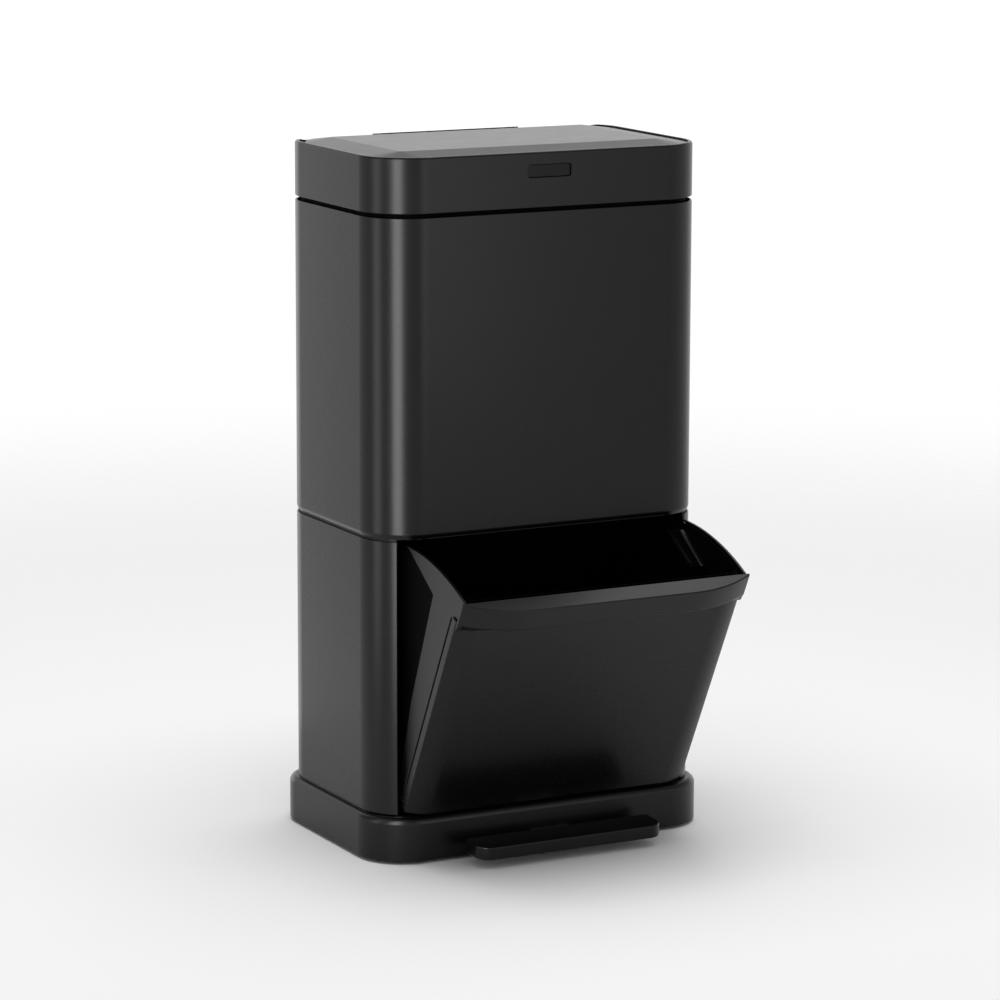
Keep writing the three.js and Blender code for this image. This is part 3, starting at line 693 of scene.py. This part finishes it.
def make_upper_pail():
    top = node_span("upper_pail")[1].z
    bottom = node_span("upper_pail")[0].z
    mouth, foot, wall = shrink(COAMING, 6), shrink(COAMING, 16), PAIL_WALL
    rings = [at_height(outline(foot, wall), bottom + wall), at_height(outline(mouth, wall), top - 0.4),
             at_height(outline(mouth, wall - 0.4), top), at_height(outline(mouth, 0.4), top),
             at_height(outline(mouth), top - 0.4), at_height(outline(foot), bottom + 4),
             at_height(outline(foot, 1.2), bottom + 1.2), at_height(outline(foot, 4), bottom)]
    pail = loft("pail", rings)
    for side in (1, -1):
        x = side * (mouth["half_w"] - 1)
        swell = block("swell", sorted((x - side * 12, x - side * 1.5)), (-59, 31), (752, 778))
        soften(swell, 3.5, 4, 40)
        add(pail, swell)
        hollow = block("hollow", sorted((x - side * 9.5, x + side * 5)), (-56, 28), (755, 775))
        soften(hollow, 2.5, 3, 40)
        cut(pail, hollow)
    return piece(pail, "upper_pail_tub", "body", "pail_plastic", ["upper_pail"])


# ---------------------------------------------------------------- pedal

def make_pedal():
    half_w, back, front, thickness = (PEDAL[key] for key in ("half_w", "back", "front", "thickness"))
    half_d = (back - front) / 2

    def plan(inset):
        rf, rb = 18.0 - inset, max(5.0 - inset, 0.5)
        w, d = half_w - inset, half_d - inset
        return (arc(w - rf, -d + rf, rf, 270, 360, 14) + arc(w - rb, d - rb, rb, 0, 90, 6)
                + arc(-w + rb, d - rb, rb, 90, 180, 6) + arc(-w + rf, -d + rf, rf, 180, 270, 14))

    edge = 1.6
    rings = []
    for i in range(6):
        a = math.radians(18.0 * i)
        rings.append(at_height(plan(edge * (1 - math.sin(a))), -thickness / 2 + edge * (1 - math.cos(a))))
    for i in range(6):
        a = math.radians(18.0 * i)
        rings.append(at_height(plan(edge * (1 - math.cos(a))), thickness / 2 - edge * (1 - math.sin(a))))
    plate = loft("pedal", rings)
    plate.data.transform(Matrix.Translation((0, (back + front) / 2 * MM, PEDAL["middle"] * MM))
                         @ Matrix.Rotation(PEDAL_SLOPE, 4, "X"))
    cut(plate, block("t", (-25.5, 25.5), (-188, -160), (14.2, 23.8)))
    return piece(plate, "pedal_tread", "pedal", "black_plastic", ["pedal_plate"])


make_plinth()
make_lower_shell()
make_upper_shell()
make_back_seam("lower_back_seam", *(v.z for v in node_span("lower_shell")))
make_back_seam("upper_back_seam", *(v.z for v in node_span("upper_shell")))
make_neck()
make_collar()
make_collar_shelf()
make_button()
make_lid()
make_lid_liner()
make_hinge_cover()
make_tilt_panel()
make_tilt_rim()
make_tilt_side(-1, "tilt_cheek_left", "tilt_side_left")
make_tilt_side(1, "tilt_cheek_right", "tilt_side_right")
make_lower_pail()
make_upper_pail()
make_pedal()

# ---------------------------------------------------------------- finishes on the CAD nodes that stay

NODE_SLOTS = {
    "deep_plastic": ("base_pan", "mid_deck", "rod_channel", "tilt_floor", "tilt_backing"),
    "black_plastic": ("hinge_ear", "lid_arm"),
    "bare_steel": ("pan_screw", "pedal_axle", "pedal_bracket", "tilt_pin", "hinge_pin", "lid_crank",
                   "pedal_lever", "lift_rod"),
    "rubber": ("foot_pad", "rest_pad", "lid_seal"),
    "nylon": ("rod_guide", "lid_roller", "lift_rod_head"),
}


def finish_nodes():
    for node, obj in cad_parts.items():
        matches = [(len(start), slot) for slot, starts in NODE_SLOTS.items()
                   for start in starts if node.startswith(start)]
        if not matches:
            continue
        obj.data.materials.clear()
        obj.data.materials.append(MATERIALS[max(matches)[1]])


finish_nodes()

# ---------------------------------------------------------------- stage

def make_floor():
    verts = [(0.0, 0.0, 0.0)]
    rings, steps = 24, 96
    reach = 6000.0
    for r in range(1, rings + 1):
        for s in range(steps):
            a = 2 * math.pi * s / steps
            verts.append((reach * r / rings * math.cos(a), reach * r / rings * math.sin(a), 0.0))
    faces = [(0, 1 + s, 1 + (s + 1) % steps) for s in range(steps)]
    for r in range(1, rings):
        faces += [(1 + (r - 1) * steps + s, 1 + r * steps + s, 1 + r * steps + (s + 1) % steps,
                   1 + (r - 1) * steps + (s + 1) % steps) for s in range(steps)]
    floor = new_object("floor", verts, faces)
    mat = bpy.data.materials.new("floor")
    mat.use_nodes = True
    nodes, links = mat.node_tree.nodes, mat.node_tree.links
    nodes.clear()
    out = nodes.new("ShaderNodeOutputMaterial")
    mix = nodes.new("ShaderNodeMixShader")
    diffuse = nodes.new("ShaderNodeBsdfDiffuse")
    diffuse.inputs["Color"].default_value = (0.92, 0.92, 0.92, 1)
    clear = nodes.new("ShaderNodeBsdfTransparent")
    place = nodes.new("ShaderNodeTexCoord")
    length = nodes.new("ShaderNodeVectorMath")
    length.operation = "LENGTH"
    fade = nodes.new("ShaderNodeMapRange")
    fade.interpolation_type = "SMOOTHSTEP"
    fade.inputs["From Min"].default_value = 0.7
    fade.inputs["From Max"].default_value = 3.2
    links.new(place.outputs["Object"], length.inputs[0])
    links.new(length.outputs["Value"], fade.inputs["Value"])
    links.new(fade.outputs["Result"], mix.inputs["Fac"])
    links.new(diffuse.outputs["BSDF"], mix.inputs[1])
    links.new(clear.outputs["BSDF"], mix.inputs[2])
    links.new(mix.outputs["Shader"], out.inputs["Surface"])
    floor.data.materials.append(mat)


def make_world():
    world = bpy.data.worlds.new("studio")
    bpy.context.scene.world = world
    world.use_nodes = True
    nodes, links = world.node_tree.nodes, world.node_tree.links
    background = nodes["Background"]
    place = nodes.new("ShaderNodeTexCoord")
    split = nodes.new("ShaderNodeSeparateXYZ")
    ramp = nodes.new("ShaderNodeValToRGB")
    height = nodes.new("ShaderNodeMapRange")
    height.inputs["From Min"].default_value = -1.0
    links.new(place.outputs["Generated"], split.inputs["Vector"])
    links.new(split.outputs["Z"], height.inputs["Value"])
    links.new(height.outputs["Result"], ramp.inputs["Fac"])
    stops = [(0.0, 1.0), (0.42, 1.0), (0.59, 1.35), (0.65, 0.95), (0.7, 0.52), (1.0, 0.6)]
    elements = ramp.color_ramp.elements
    while len(elements) < len(stops):
        elements.new(0.5)
    for element, (position, value) in zip(elements, stops):
        element.position = position
        element.color = (value, value, value, 1)
    links.new(ramp.outputs["Color"], background.inputs["Color"])
    facing = nodes.new("ShaderNodeVectorMath")
    facing.operation = "DOT_PRODUCT"
    facing.inputs[1].default_value = (math.cos(math.radians(62)), math.sin(math.radians(62)), 0.0)
    dim = nodes.new("ShaderNodeMapRange")
    dim.interpolation_type = "SMOOTHSTEP"
    dim.inputs["From Min"].default_value = 0.5
    dim.inputs["From Max"].default_value = 0.88
    dim.inputs["To Min"].default_value = 0.72
    dim.inputs["To Max"].default_value = 1.0
    links.new(place.outputs["Generated"], facing.inputs[0])
    links.new(facing.outputs["Value"], dim.inputs["Value"])
    links.new(dim.outputs["Result"], background.inputs["Strength"])


def panel_light(name, azimuth, elevation, distance, width, height, radiance, centre, on_floor=False):
    """Soft box at an azimuth (degrees from +x, anticlockwise) and elevation, seen from centre."""
    data = bpy.data.lights.new(name, "AREA")
    data.shape = "RECTANGLE"
    data.size = width
    data.size_y = height
    data.energy = radiance * math.pi * width * height
    lamp = bpy.data.objects.new(name, data)
    bpy.context.scene.collection.objects.link(lamp)
    a, e = math.radians(azimuth), math.radians(elevation)
    out = Vector((math.cos(a) * math.cos(e), math.sin(a) * math.cos(e), math.sin(e)))
    turn = out.to_track_quat("Z", "Y").to_matrix().to_4x4()
    lamp.matrix_world = Matrix.Translation(Vector(centre) + distance * out) @ turn
    lamp.visible_camera = False
    lamp.visible_diffuse = on_floor
    lamp.visible_glossy = not on_floor


CORNER = (-0.18, -0.12, 0.9)
make_floor()
make_world()
panel_light("corner_strip", 225.5, 0, 1.15, 0.42, 1.9, 8.8, CORNER)
panel_light("left_strip", 177.0, 0, 1.2, 0.36, 1.9, 2.4, CORNER)
panel_light("rear_left_panel", 101.0, 0, 0.5, 0.22, 1.3, 0.62, (-0.215, 0.06, 0.4))
panel_light("top_panel", 37.0, 58, 2.2, 1.0, 1.0, 2.2, (0.0, -0.2, 0.4))
panel_light("front_right_panel", 286.0, 0, 1.7, 0.6, 1.4, 1.3, (-0.05, -0.14, 0.95))
panel_light("overhead", 0.0, 90, 3.2, 2.6, 2.6, 3.4, (0.0, 0.0, 0.0), on_floor=True)

bpy.context.scene.view_settings.view_transform = "Standard"

# ---------------------------------------------------------------- scene update

bpy.context.view_layer.update()
